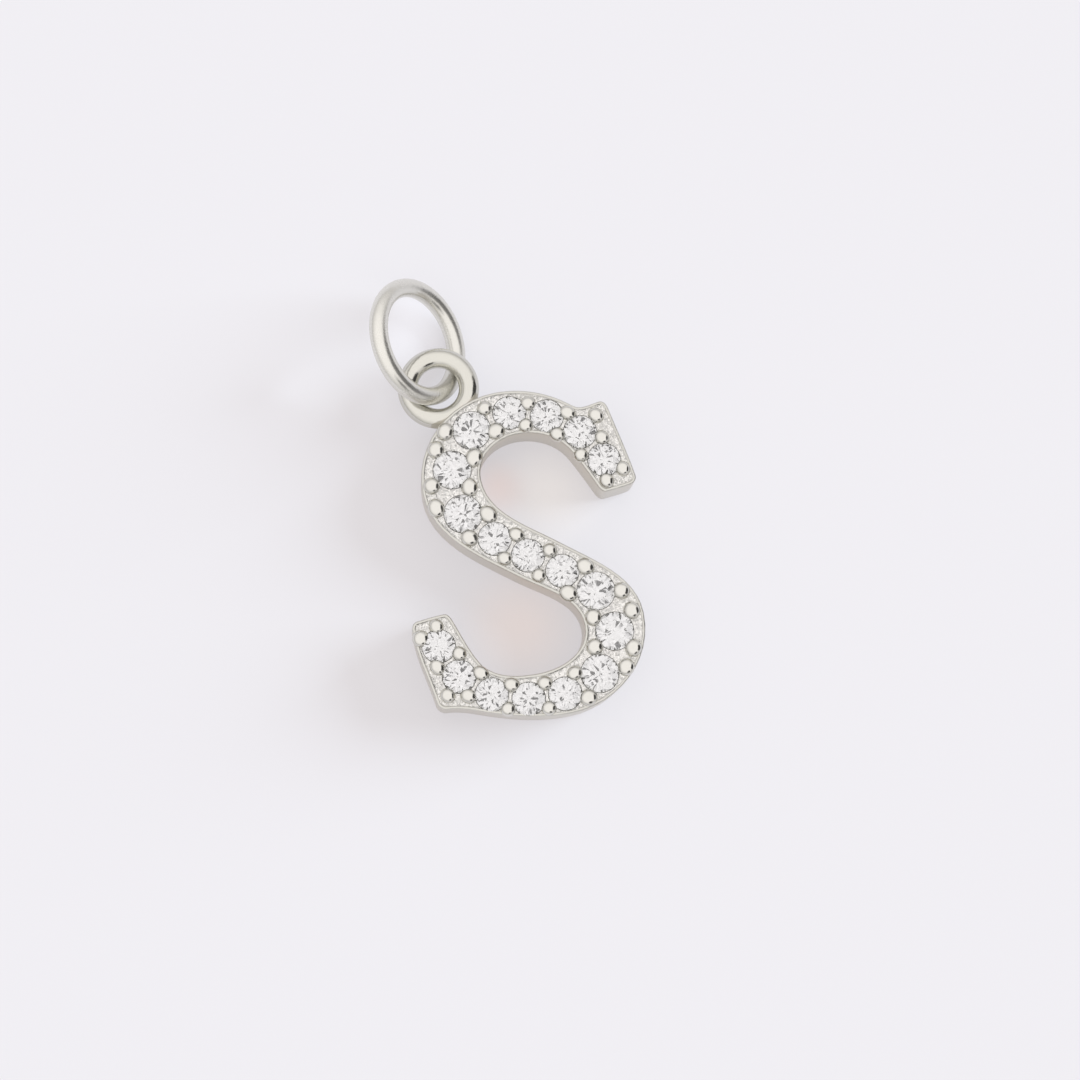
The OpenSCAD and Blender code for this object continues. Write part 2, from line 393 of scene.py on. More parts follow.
def paint(piece, material_number):
    """Gives all faces of a piece one of the letter's materials, by number."""
    for face in piece.data.polygons:
        face.material_index = material_number


def coat(piece, *materials):
    """Gives a piece its materials."""
    for material in materials:
        piece.data.materials.append(material)


def hand_over(piece, node):
    """Puts a finished piece under the root body and hides the CAD node that it stands in for."""
    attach(piece, "root")
    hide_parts(node)


# Letter

# The letter's materials, in the order in which it has them
# The fourth material holds the seats' unpolished metal and the painted shade in the line at the rim's
# foot
POLISHED, GRAINED, SATIN, SEATS_AND_SHADE_LINE, LOOP, RIM = range(6)

EDGE_ROUNDING_STEPS = 4
SEAT_SIDES = 48
LOOP_SIDES, LOOP_WIRE_SIDES = 128, 40
BEAD_SIDES, BEAD_RINGS = 28, 20
SMOOTH_ANGLE = math.radians(35)

# Height of a face's normal from which the face belongs to the rim, not to a wall
UPWARDS = 0.5

# Room that a cutting piece has beyond the metal
ROOM = 0.4 * MM

# Grid of the field, and the width of the line of painted shade at the foot of the rim
GRID_STEP, LINE = 0.025 * MM, 0.025 * MM

# Relief of the field: sizes of its lumps, its fine lumps and its wide swellings, the
# share of the fine lumps in the lumps, and the shares of lumps and swellings in the grain
LUMP, FINE_LUMP, SWELLING = 0.11 * MM, 0.05 * MM, 0.5 * MM
FINE_SHARE = 0.6
LUMP_SHARE, SWELLING_SHARE = 0.55, 0.35

# Metal pushed up at the foot of a bead: its height, its width, and how far from the
# bead's middle it is looked for
FOOT_RISE, FOOT_WIDTH, FOOT_REACH = 0.015 * MM, 0.05 * MM, 0.45 * MM

# Slope from the rim down to the field: the power of its curve, and its top's depth
SLOPE_POWER, SLOPE_TOP = 0.7, 0.004 * MM

# Dome of a bead, where 2 is a ball and more is blunter, and the depth and width of the
# root under it, the width as a share of the bead's
DOME_POWER = 2.6
ROOT, ROOT_SHARE = 0.12 * MM, 0.35

# A bead's greatest tilt in degrees and greatest length as a share of its width
MOST_TILT, MOST_LONG = 9, 1.2
BEAD_SEED = 11

# Distance under which the points of a seat are merged where its profile is spun
SPIN_CLOSE = 1e-7


def outline_face(name, height, inset):
    """The letter's outline as one flat face at height 0, narrowed by inset."""
    clear_choice()
    bpy.ops.curve.primitive_bezier_curve_add()
    curve = bpy.context.object
    spline = curve.data.splines[0]
    spline.bezier_points.add(len(OUTLINE) - len(spline.bezier_points))
    spline.use_cyclic_u = True
    spline.resolution_u = SPAN_STEPS
    spans = [arc_span(a, b) for a, b in zip(OUTLINE, OUTLINE[1:] + OUTLINE[:1])]
    for point, before, after in zip(spline.bezier_points, spans[-1:] + spans[:-1], spans):
        point.handle_left_type = point.handle_right_type = "FREE"
        point.co = after[0] * height
        point.handle_left = before[2] * height
        point.handle_right = after[1] * height
    bpy.ops.object.convert(target="MESH")
    piece = named(name)
    edit(piece)
    bpy.ops.mesh.select_all(action="SELECT")
    bpy.ops.mesh.edge_face_add()
    if inset:
        # The inset leaves the inner face selected, and all the rest goes
        bpy.ops.mesh.select_mode(type="FACE")
        bpy.ops.mesh.inset(thickness=inset, use_even_offset=True)
        bpy.ops.mesh.select_all(action="INVERT")
        bpy.ops.mesh.delete(type="FACE")
        pick("VERT", lambda v: not v.link_faces)
        bpy.ops.mesh.delete(type="VERT")
    bpy.ops.object.mode_set(mode="OBJECT")
    return piece


def letter_plate(row):
    """The plate with its rounded edges, before the field is sunk."""
    letter = sizes("letter")
    plate = outline_face("letter", row.height, 0)
    edit(plate)
    bpy.ops.mesh.select_all(action="SELECT")
    raise_up(letter.thickness)
    close_up()
    edit(plate)
    for z in (0.0, letter.thickness):
        pick("EDGE", at_height(z))
        bpy.ops.mesh.bevel(
            offset=letter.edge, segments=EDGE_ROUNDING_STEPS, affect="EDGES", clamp_overlap=True,
        )
    bpy.ops.object.mode_set(mode="OBJECT")
    for face in plate.data.polygons:
        face.material_index = RIM if face.normal.z > UPWARDS else SATIN
    return plate


def near(points):
    """A tree that finds the nearest of some points."""
    tree = kdtree.KDTree(len(points))
    for number, point in enumerate(points):
        tree.insert(point, number)
    tree.balance()
    return tree


def edge_points(row):
    """Close points all along the letter's outline."""
    points = []
    for a, b in zip(OUTLINE, OUTLINE[1:] + OUTLINE[:1]):
        points += interpolate_bezier(*arc_span(a, b), EDGE_STEPS)
    return [row.height * point for point in points]


def field_height(x, y, tree, beads, edge):
    """Height of the grained field over its plain level at a place. It swells at the foot of
    each bead and slopes up to the rim."""
    letter = sizes("letter")
    place = Vector((x, y, 0))
    lumps = noise.noise(place / LUMP) + FINE_SHARE * noise.noise(place / FINE_LUMP)
    swelling = noise.noise(place / SWELLING)
    height = letter.grain * (LUMP_SHARE * lumps + SWELLING_SHARE * swelling)
    for _, number, distance in tree.find_range(place, FOOT_REACH):
        beyond = max(distance - beads[number][1] / 2, 0)
        height += FOOT_RISE * math.exp(-((beyond / FOOT_WIDTH) ** 2))
    inside = (edge.find(place)[2] - letter.rim) / letter.slope
    if inside < 1:
        share = max(inside, 0) ** SLOPE_POWER
        height = share * height + (1 - share) * (letter.sink - SLOPE_TOP)
    return height


def field_block(row, beads, edge):
    """A block over the whole letter, whose underside is the field's surface."""
    letter = sizes("letter")
    low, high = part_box(SETTING_NODE)
    high.y = row.height * max(y for _, y, _ in OUTLINE)
    span, middle = high - low, (high + low) / 2
    clear_choice()
    bpy.ops.mesh.primitive_grid_add(
        x_subdivisions=math.ceil(span.x / GRID_STEP), y_subdivisions=math.ceil(span.y / GRID_STEP),
        size=1, location=(middle.x, middle.y, letter.thickness - letter.sink),
    )
    block = named("field_space")
    block.scale = (span.x, span.y, 1)
    settle(block)
    tree = near([place for place, _, _ in beads])
    for vertex in block.data.vertices:
        vertex.co.z += field_height(vertex.co.x, vertex.co.y, tree, beads, edge)
    edit(block)
    bpy.ops.mesh.select_mode(type="EDGE")
    bpy.ops.mesh.select_all(action="SELECT")
    bpy.ops.mesh.region_to_loop()
    raise_up(ROOM)
    bpy.ops.mesh.edge_face_add()
    close_up()
    return block


def sunk_field(row, beads):
    """The space over the grained field, inside the rim."""
    letter = sizes("letter")
    edge = near(edge_points(row))
    block = field_block(row, beads, edge)
    inner = outline_face("inner_outline", row.height, letter.rim)
    edit(inner)
    bpy.ops.mesh.select_all(action="SELECT")
    raise_up(2 * ROOM)
    close_up()
    inner.data.transform(Matrix.Translation((0, 0, letter.thickness - ROOM)))
    carve(block, inner, "INTERSECT")
    for face in block.data.polygons:
        place = Vector((face.center.x, face.center.y, 0))
        # A thin band at the rim's foot gets the darker metal: painted shade in the crease
        line = edge.find(place)[2] < letter.rim + LINE
        face.material_index = SEATS_AND_SHADE_LINE if line else GRAINED
    return block


def bead(diameter):
    """One bead over the origin: a low dome with a root that goes down into the field."""
    letter = sizes("letter")
    foot = letter.thickness - letter.sink
    rise = letter.sink + letter.bead_rise
    clear_choice()
    bpy.ops.mesh.primitive_uv_sphere_add(
        segments=BEAD_SIDES, ring_count=BEAD_RINGS, radius=1, location=(0, 0, foot),
        scale=(diameter / 2, diameter / 2, rise),
    )
    piece = named("bead")
    settle(piece)
    for vertex in piece.data.vertices:
        out = vertex.co.xy.length / (diameter / 2)
        if vertex.co.z > foot + CLOSE:
            vertex.co.z = foot + rise * math.sqrt(1 - out ** DOME_POWER)
    edit(piece)
    pick("VERT", lambda v: v.co.z < foot - CLOSE)
    bpy.ops.mesh.delete(type="VERT")
    pick("EDGE", at_height(foot))
    raise_up(-ROOT)
    bpy.ops.transform.resize(value=(ROOT_SHARE, ROOT_SHARE, 1))
    bpy.ops.mesh.edge_face_add()
    close_up()
    paint(piece, POLISHED)
    return piece


def set_by_hand(chance, place, angle):
    """Place of a bead pushed up by hand: tilted a little, and long in the row's direction."""
    height = Vector((0, 0, sizes("letter").thickness))
    tilt = Matrix.Rotation(math.radians(chance.uniform(0, MOST_TILT)), 4, "X")
    long = Matrix.Diagonal((chance.uniform(1, MOST_LONG), 1, 1, 1))
    lean = chance.uniform(0, 2 * math.pi)
    turns = [Matrix.Rotation(turn, 4, "Z") for turn in (lean, angle - lean)]
    lift = Matrix.Translation(place + height)
    return lift @ turns[0] @ tilt @ turns[1] @ long @ Matrix.Translation(-height)


def seat(diameter):
    """The space of a stone with its clearance, and the hole drilled under it."""
    letter, stones = sizes("letter"), sizes("stones")
    r = diameter / 2
    side = r + stones.clear
    top = letter.thickness - stones.sink
    ledge = top - GIRDLE_H * r - stones.clear
    drill = stones.drill / 2
    profile = [
        (0, -ROOM), (drill, -ROOM), (drill, ledge - PAVILION_H * (side - drill)), (side, ledge),
        (side, top + stones.clear / 2),
        (STAR_R * r + stones.clear, top + STAR_H * r + stones.clear),
        (TABLE_R * r + stones.clear, top + CROWN_H * r + stones.clear),
        (TABLE_R * r + stones.clear, letter.thickness + ROOM), (0, letter.thickness + ROOM),
    ]
    # The plane only lends its mesh to the profile, which is then spun
    clear_choice()
    bpy.ops.mesh.primitive_plane_add()
    piece = named("seat")
    edit(piece)
    bpy.ops.mesh.delete(type="VERT")
    mesh = bmesh.from_edit_mesh(piece.data)
    corners = [mesh.verts.new((x, 0, z)) for x, z in profile]
    for a, b in zip(corners, corners[1:]):
        mesh.edges.new((a, b))
    bmesh.update_edit_mesh(piece.data)
    bpy.ops.mesh.select_all(action="SELECT")
    bpy.ops.mesh.spin(steps=SEAT_SIDES, angle=2 * math.pi, center=(0, 0, 0), axis=(0, 0, 1))
    bpy.ops.mesh.select_all(action="SELECT")
    bpy.ops.mesh.remove_doubles(threshold=SPIN_CLOSE)
    close_up()
    paint(piece, SEATS_AND_SHADE_LINE)
    return piece


def loop(row):
    """The round-wire loop at the letter's shoulder."""
    letter = sizes("letter")
    radius = (letter.loop_hole + letter.loop_wire) / 2
    place = Vector((SHOULDER[0], SHOULDER[1], 0)) * row.height
    place += (radius - letter.loop_bite) * heading(SHOULDER_HEADING)
    clear_choice()
    bpy.ops.mesh.primitive_torus_add(
        major_segments=LOOP_SIDES, minor_segments=LOOP_WIRE_SIDES,
        major_radius=radius, minor_radius=letter.loop_wire / 2,
        location=(place.x, place.y, letter.loop_z),
    )
    piece = named("loop")
    settle(piece)
    paint(piece, LOOP)
    return piece


class CHARM_OT_letter(bpy.types.Operator):
    """Models the letter with its rim, grained field, seats, beads and loop as one body"""

    bl_idname = "charm.letter"
    bl_label = "Letter"

    def execute(self, context):
        row = Row()
        beads = list(bead_places(row))
        letter = letter_plate(row)
        coat(
            letter, polished_silver(), grained_silver(), satin_silver(), seats_and_shade_line_silver(),
            loop_silver(), rim_silver(),
        )
        carve(letter, sunk_field(row, beads), "DIFFERENCE")
        masters = {d: bead(d) for d in {d for _, d, _ in beads}}
        chance = random.Random(BEAD_SEED)
        heads = []
        for place, d, angle in beads:
            heads.append(moved_copy(masters[d], set_by_hand(chance, place, angle)))
        discard(*masters.values())
        carve(letter, join(heads, "beads"), "UNION")
        carve(letter, loop(row), "UNION")
        masters = {d: seat(d) for d in set(row.diameters)}
        seats = []
        for s, d in zip(row.stations, row.diameters):
            seats.append(moved_copy(masters[d], Matrix.Translation(row.point(s))))
        discard(*masters.values())
        carve(letter, join(seats, "seats"), "DIFFERENCE")
        choose(letter)
        bpy.ops.object.shade_smooth_by_angle(angle=SMOOTH_ANGLE)
        weigh = letter.modifiers.new("weigh", "WEIGHTED_NORMAL")
        weigh.keep_sharp = True
        bpy.ops.object.modifier_apply(modifier=weigh.name)
        letter.name = letter.data.name = "letter"
        hand_over(letter, SETTING_NODE)
        return {"FINISHED"}


# Jump ring

RING_SIDES, RING_WIRE_SIDES = 192, 48


class CHARM_OT_jump_ring(bpy.types.Operator):
    """Models the jump ring that leans in the loop"""

    bl_idname = "charm.jump_ring"
    bl_label = "Jump ring"

    def execute(self, context):
        ring = sizes("ring")
        low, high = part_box(RING_NODE)
        clear_choice()
        bpy.ops.mesh.primitive_torus_add(
            major_segments=RING_SIDES, minor_segments=RING_WIRE_SIDES,
            major_radius=(ring.across - ring.wire) / 2, minor_radius=ring.wire / 2,
            location=(low + high) / 2, rotation=(0, ring.lean, 0),
        )
        piece = named("ring_wire")
        settle(piece)
        bpy.ops.object.shade_smooth()
        coat(piece, ring_silver())
        hand_over(piece, RING_NODE)
        return {"FINISHED"}


# Stones

# Round blank of a stone: its sides, and its height in girdle radii
BLANK_SIDES, BLANK_HEIGHT = 64, 4

# How far a facet's normal may slip, and the height of a normal from which the facet is
# the table, which never slips
UNEVEN, FLAT = 0.012, 0.99

# Distance from a facet's plane within which a corner counts as on it
CUT_CLOSE = 1e-8
CUTTING_SEED = 7


def polar(radius, turn, height):
    """Point at a radius, a turn in steps of half a main facet, and a height."""
    angle = turn * math.pi / MAINS
    return Vector((radius * math.cos(angle), radius * math.sin(angle), height))


def facets():
    """Three points on the plane of each facet, for a girdle radius of 1."""
    culet = Vector((0, 0, -GIRDLE_H - PAVILION_H))
    yield [polar(TABLE_R, k, CROWN_H) for k in (0, 2, 4)]
    for k in range(0, 2 * MAINS, 2):
        table, edge, foot = polar(TABLE_R, k, CROWN_H), polar(1, k, 0), polar(1, k, -GIRDLE_H)
        stars = [polar(STAR_R, k + side, STAR_H) for side in (1, -1)]
        yield table, *stars
        yield table, polar(TABLE_R, k + 2, CROWN_H), stars[0]
        yield culet, *(polar(1 / math.cos(math.pi / MAINS), k + side, -GIRDLE_H) for side in (1, -1))
        for side, star in zip((1, -1), stars):
            yield edge, polar(1, k + side, 0), star
            yield foot, polar(1, k + side, -GIRDLE_H), polar(LOWER_R, k + side, LOWER_H)


def cut_stone(diameter, chance):
    """One stone at the origin, cut facet by facet from a round blank, a little unevenly."""
    r = diameter / 2
    middle = Vector((0, 0, -GIRDLE_H / 2))
    clear_choice()
    bpy.ops.mesh.primitive_cylinder_add(vertices=BLANK_SIDES, radius=r, depth=BLANK_HEIGHT * r)
    piece = named("stone_master")
    edit(piece)
    for a, b, c in facets():
        outwards = (b - a).cross(c - a).normalized()
        if outwards.dot(a - middle) < 0:
            outwards.negate()
        if outwards.z < FLAT:
            slip = Vector([chance.uniform(-UNEVEN, UNEVEN) for _ in range(3)])
            outwards = (outwards + slip).normalized()
        bpy.ops.mesh.select_all(action="SELECT")
        bpy.ops.mesh.bisect(
            plane_co=a * r, plane_no=outwards, use_fill=True, clear_outer=True,
            threshold=CUT_CLOSE,
        )
    bpy.ops.mesh.select_all(action="SELECT")
    bpy.ops.mesh.remove_doubles(threshold=CLOSE)
    close_up()
    return piece


class CHARM_OT_stones(bpy.types.Operator):
    """Cuts the stones and lays one in each seat"""

    bl_idname = "charm.stones"
    bl_label = "Stones"

    def execute(self, context):
        row = Row()
        chance = random.Random(CUTTING_SEED)
        girdle = sizes("letter").thickness - sizes("stones").sink
        material = clear_stone()
        for number, (s, d) in enumerate(zip(row.stations, row.diameters), 1):
            stone = cut_stone(d, chance)
            stone.name = stone.data.name = f"cut_stone_{number:02d}"
            turn = Matrix.Rotation(chance.uniform(0, math.pi), 4, "Z")
            place = row.point(s) + Vector((0, 0, girdle))
            stone.data.transform(Matrix.Translation(place) @ turn)
            coat(stone, material)
            hand_over(stone, f"stone_{number:02d}")
        return {"FINISHED"}


# Materials

# Numbers of the Mix node's sockets for colours, whose names it uses more than once
MIX_SHARE, MIX_FIRST, MIX_SECOND, MIX_COLOUR = 0, 6, 7, 2

# Sizes of the metal's mottling and scuffs, their shares in its roughness, the middle
# of both, the shade of the darkest mottling, and the scuffs' share of the ripple's depth
MOTTLE, SCUFF = 0.6 * MM, 0.03 * MM
MOTTLE_SHARE, SCUFF_SHARE, NOISE_MIDDLE = 0.6, 0.4, 0.5
MOTTLE_SHADE = 0.95
SCUFF_DEPTH = 0.06

# Shade of the metal in the seats, where no polish reaches, which also darkens the line of painted
# shade at the foot of the rim
SEAT_AND_LINE_SHADE = 0.75

# Grains of the field: their size and that of the coarse ones, the noise between which they turn from
# dark to bright, the shade of the dark ones, their depth, and the metal's roughness and its spread.
# The dark grains are the hollows of the bump, darkened by tarnish and by painted shade in the pits
GRAIN, COARSE_GRAIN = 0.07 * MM, 0.12 * MM
GRAIN_DARK, GRAIN_BRIGHT = 0.38, 0.56
PIT_TARNISH_AND_SHADE = 0.72
GRAIN_DEPTH = 0.06 * MM
GRAIN_ROUGH, GRAIN_ROUGH_SPREAD = 0.2, 0.1

# Unevenness of a stone's polish: its size, the darkest shade and the greatest roughness
POLISH, POLISH_SHADE, POLISH_ROUGH = 0.08 * MM, 0.99, 0.01
STONE_IOR = 2.2


class Wire:
    """One output of a node. Arithmetic on it adds Math nodes."""

    def __init__(self, bench, socket):
        self.bench, self.socket = bench, socket

    def _maths(self, operation, left, right):
        return self.bench.add("ShaderNodeMath", {"operation": operation}, {0: left, 1: right})

    def __add__(self, other):
        return self._maths("ADD", self, other)

    def __radd__(self, other):
        return self._maths("ADD", other, self)

    def __sub__(self, other):
        return self._maths("SUBTRACT", self, other)

    def __rsub__(self, other):
        return self._maths("SUBTRACT", other, self)

    def __mul__(self, other):
        return self._maths("MULTIPLY", self, other)

    def __rmul__(self, other):
        return self._maths("MULTIPLY", other, self)


class Bench:
    """A node tree that is filled node by node."""

    def __init__(self, tree):
        self.tree = tree
        tree.nodes.clear()

    def add(self, kind, settings=None, sockets=None, out=0):
        """Adds a node, sets its settings, then the values or links of its sockets."""
        node = self.tree.nodes.new(kind)
        for name, value in (settings or {}).items():
            setattr(node, name, value)
        for name, value in (sockets or {}).items():
            if isinstance(value, Wire):
                self.tree.links.new(value.socket, node.inputs[name])
            else:
                node.inputs[name].default_value = value
        return Wire(self, node.outputs[out]) if node.outputs else node

    def step(self, value, low, high):
        """Rises smoothly from 0 to 1 as a value goes from low to high."""
        return self.add(
            "ShaderNodeMapRange", {"interpolation_type": "SMOOTHSTEP"},
            {"Value": value, "From Min": low, "From Max": high},
        )

    def towards(self, direction, aim):
        """Cosine of the angle between a direction and a fixed one."""
        return self.add(
            "ShaderNodeVectorMath", {"operation": "DOT_PRODUCT"}, {0: direction, 1: aim},
            out="Value",
        )

    def noise(self, place, scale, detail=2.0, rough=0.5):
        """Noise between 0 and 1."""
        return self.add(
            "ShaderNodeTexNoise", {"noise_dimensions": "3D"},
            {"Vector": place, "Scale": scale, "Detail": detail, "Roughness": rough},
        )

    def blend(self, share, first, second):
        """Colour between a first one, where the share is 0, and a second one."""
        return self.add(
            "ShaderNodeMix", {"data_type": "RGBA"},
            {MIX_SHARE: share, MIX_FIRST: first, MIX_SECOND: second}, out=MIX_COLOUR,
        )


def new_material(name):
    """An empty material and its bench."""
    material = bpy.data.materials.new(name)
    material.use_nodes = True
    return material, Bench(material.node_tree)


def finish_material(bench, sockets):
    """Ends a material with a Principled shader."""
    shader = bench.add("ShaderNodeBsdfPrincipled", None, sockets)
    bench.add("ShaderNodeOutputMaterial", None, {"Surface": shader})


def shades(bench, share, shade, darkest):
    """A colour that varies down to a share of its brightness."""
    return bench.blend(share, (*darker_shade(shade, darkest), 1), (*shade, 1))


def bump(bench, height, depth):
    """Normal of a surface with a relief of some depth."""
    return bench.add("ShaderNodeBump", None, {"Strength": 1.0, "Distance": depth, "Height": height})


def darker_shade(shade, share):
    """A darker shade of a colour."""
    return tuple(c * share for c in shade)


def metal(name, shade, rough, spread, ripple, depth, metallic=1.0):
    """Metal with soft mottling, fine scuffs and a slight ripple of some size and depth. Its
    roughness varies by the spread."""
    material, bench = new_material(name)
    place = bench.add("ShaderNodeTexCoord", out="Object")
    mottle = bench.noise(place, 1 / MOTTLE, detail=3.0)
    scuffs = bench.noise(place, 1 / SCUFF, rough=0.6)
    waves = bench.noise(place, 1 / ripple)
    uneven = MOTTLE_SHARE * mottle + SCUFF_SHARE * scuffs - NOISE_MIDDLE
    finish_material(bench, {
        "Base Color": shades(bench, mottle, shade, MOTTLE_SHADE),
        "Metallic": metallic,
        "Roughness": rough + spread * uneven,
        "Normal": bump(bench, waves + SCUFF_DEPTH * scuffs, depth),
    })
    return material


def polished_silver():
    """Metal of the beads, rubbed bright."""
    return metal(
        "polished_silver", sizes("finish").silver,
        rough=0.1, spread=0.05, ripple=0.2 * MM, depth=0.016 * MM,
    )


def loop_silver():
    """Metal of the soldered loop."""
    return metal(
        "loop_silver", sizes("finish").loop,
        rough=0.17, spread=0.06, ripple=0.3 * MM, depth=0.012 * MM,
    )


def ring_silver():
    """Metal of the jump ring, drawn wire with a softer shine."""
    return metal(
        "ring_silver", sizes("finish").ring,
        rough=0.27, spread=0.05, ripple=0.4 * MM, depth=0.008 * MM, metallic=0.85,
    )


def satin_silver():
    """Metal of the side walls and the back."""
    return metal(
        "satin_silver", sizes("finish").satin,
        rough=0.34, spread=0.1, ripple=0.12 * MM, depth=0.006 * MM,
    )


def rim_silver():
    """Metal of the narrow rim round the face."""
    return metal(
        "rim_silver", sizes("finish").rim,
        rough=0.3, spread=0.1, ripple=0.06 * MM, depth=0.012 * MM,
    )


def seats_and_shade_line_silver():
    """Metal of the seats, where no polish reaches, and painted shade in the line at the foot of the
    rim.
    """
    return metal(
        "seats_and_shade_line_silver", darker_shade(sizes("finish").silver, SEAT_AND_LINE_SHADE),
        rough=0.3, spread=0.1, ripple=0.2 * MM, depth=0.006 * MM,
    )


def grained_silver():
    """Rough cast metal with grains finer than the mesh holds."""
    material, bench = new_material("grained_silver")
    shade = sizes("finish").grained
    place = bench.add("ShaderNodeTexCoord", out="Object")
    grains = bench.noise(place, 1 / GRAIN, detail=3.0, rough=0.65)
    coarse = bench.noise(place, 1 / COARSE_GRAIN)
    bright = bench.step(grains, GRAIN_DARK, GRAIN_BRIGHT)
    # Low grains are the bump's pits; their darker colour is tarnish there plus painted shade
    finish_material(bench, {
        "Base Color": shades(bench, bright, shade, PIT_TARNISH_AND_SHADE),
        "Metallic": 1.0,
        "Roughness": GRAIN_ROUGH + GRAIN_ROUGH_SPREAD * coarse,
        "Normal": bump(bench, grains, GRAIN_DEPTH),
    })
    return material


def clear_stone():
    """Clear cut stone, with a breath of unevenness in its polish."""
    material, bench = new_material("clear_stone")
    shade = sizes("finish").stone
    place = bench.add("ShaderNodeTexCoord", out="Object")
    polish = bench.noise(place, 1 / POLISH)
    finish_material(bench, {
        "Base Color": shades(bench, polish, shade, POLISH_SHADE),
        "Roughness": POLISH_ROUGH * polish,
        "IOR": STONE_IOR,
        "Transmission Weight": 1.0,
    })
    return material


# Stage

# Where the camera looks, how far off it stands and how it is turned, in degrees
TARGET = Vector((0.455, 0.394, 1.7)) * MM
CAMERA_DISTANCE = 87.95 * MM
CAMERA_AZIMUTH, CAMERA_ELEVATION, CAMERA_UP_TURN = -32.8, 82.4, 11.4
CAMERA_LENS, SENSOR = 96.67, 36.0

# The key light, low over the right of the picture. It falls on the floor alone, for the
# shadows, and the dome lights the charm
KEY_AZIMUTH, KEY_ELEVATION, KEY_SPREAD = 84.0, 22.0, 36.0
KEY_STRENGTH, KEY_COLOUR = 6.5, (0.72, 0.86, 1.0)

# The floor in metres, its depth under the charm, its glow, and its faint clouds
FLOOR_SIZE, FLOOR_DEPTH, FLOOR_GLOW = 1.2, 0.01 * MM, 0.57
CLOUDS_PER_METRE, CLOUD_SHADE, FLOOR_ROUGH = 8.0, 0.995, 0.9

# Colours of the dome of light and of what the camera sees of it
DOME = (1.08, 1.05, 1.04)
BACKDROP = (0.879, 0.863, 0.904)

# Strength of the dome overhead, how much of it is lost near the horizon and the height
# where that loss begins, as the sine of an angle, and the same for a low strip
DOME_STRENGTH, DOME_LOSS, LOSS_TOP = 1.12, 0.55, 0.85
STRIP_LOSS, STRIP_TOP = 0.3, 0.07

# Dark places in the dome that the metal mirrors, a block at the right of the picture and
# a spot near its bottom. Columns: the direction clockwise from the picture's top, the
# height, and the radii where the dark begins and is full, all in degrees
DARK_PLACES = [(88, 23, 27, 24), (150, 31, 15, 12)]
DARK_LOSS = 0.93

# Dim patches that only light inside the stones meets, for the sparkle of their facets:
# how fine they are, the noise between which they begin and are full, and how much light
# is lost all over and in a patch
PATCH_FINENESS, PATCH_EDGE, PATCH_FULL = 20.0, 0.585, 0.61
STONE_LOSS, PATCH_LOSS = 0.16, 0.75

# Bounces of light, of which the stones need more than usual
ALL_BOUNCES, MIRROR_BOUNCES = 24, 16

# Light that the metal throws on the floor in both bowls and inside the jump ring.
# Columns: x, y and reach in millimetres, and the colour of the floor's glow there
THROWN_LIGHT = [
    (1.1, 2.0, 2.2, (1.03, 0.985, 0.975)), (-0.4, 2.4, 1.2, (1.0, 0.86, 0.84)),
    (-0.6, -1.9, 2.3, (0.95, 0.845, 0.825)), (-2.1, 7.8, 1.6, (1.12, 1.12, 1.2)),
]


def sky_direction(azimuth, elevation):
    """Unit vector to a place over the table, with azimuth 0 at +Y and 90 at +X."""
    a, e = math.radians(azimuth), math.radians(elevation)
    return Vector((math.sin(a) * math.cos(e), math.cos(a) * math.cos(e), math.sin(e)))


def pale_floor():
    """Matt floor that glows a little, with the light that the metal throws on it."""
    material, bench = new_material("pale_floor")
    place = bench.add("ShaderNodeTexCoord", out="Object")
    cloud = bench.noise(place, CLOUDS_PER_METRE)
    glow = (*BACKDROP, 1)
    for x, y, reach, light in THROWN_LIGHT:
        away = bench.add(
            "ShaderNodeVectorMath", {"operation": "DISTANCE"},
            {0: place, 1: (x * MM, y * MM, 0)}, out="Value",
        )
        share = 1 - bench.step(away, 0.0, reach * MM)
        glow = bench.blend(share, glow, (*light, 1))
    finish_material(bench, {
        "Base Color": shades(bench, cloud, sizes("finish").floor, CLOUD_SHADE),
        "Roughness": FLOOR_ROUGH,
        "Specular IOR Level": 0.0,
        "Emission Color": glow,
        "Emission Strength": FLOOR_GLOW,
    })
    return material


def studio_world():
    """Pale soft light from all sides, with the dark places that the metal mirrors and the
    dim patches that light inside the stones meets."""
    world = bpy.data.worlds.new("studio")
    bpy.context.scene.world = world
    world.use_nodes = True
    bench = Bench(world.node_tree)
    direction = bench.add("ShaderNodeTexCoord", out="Generated")
    height = bench.towards(direction, (0, 0, 1))
    low = 1 - bench.step(height, 0.0, LOSS_TOP)
    strip = 1 - bench.step(height, 0.0, STRIP_TOP)
    light = (DOME_STRENGTH - DOME_LOSS * low) * (1 - STRIP_LOSS * strip)
    for azimuth, elevation, edge, full in DARK_PLACES:
        aim = bench.towards(direction, sky_direction(azimuth + CAMERA_UP_TURN, elevation))
        dark = bench.step(aim, math.cos(math.radians(edge)), math.cos(math.radians(full)))
        light = light * (1 - DARK_LOSS * dark)
    speckle = bench.noise(direction, PATCH_FINENESS, detail=3.0)
    patches = bench.step(speckle, PATCH_EDGE, PATCH_FULL)
    inside = bench.add("ShaderNodeLightPath", out="Is Transmission Ray")
    dimmed = light * (1 - inside * (STONE_LOSS + PATCH_LOSS * patches))
    dome = bench.add("ShaderNodeBackground", None, {"Color": (*DOME, 1), "Strength": dimmed})
    backdrop = bench.add("ShaderNodeBackground", None, {"Color": (*BACKDROP, 1)})
    seen = bench.add("ShaderNodeLightPath", out="Is Camera Ray")
    mixed = bench.add("ShaderNodeMixShader", None, {0: seen, 1: dome, 2: backdrop})
    bench.add("ShaderNodeOutputWorld", None, {"Surface": mixed})


def lay_floor():
    """The pale floor, just under the charm."""
    clear_choice()
    bpy.ops.mesh.primitive_plane_add(size=FLOOR_SIZE, location=(0, 0, -FLOOR_DEPTH))
    floor = named("floor")
    settle(floor)
    coat(floor, pale_floor())
    floor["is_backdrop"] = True
    return floor


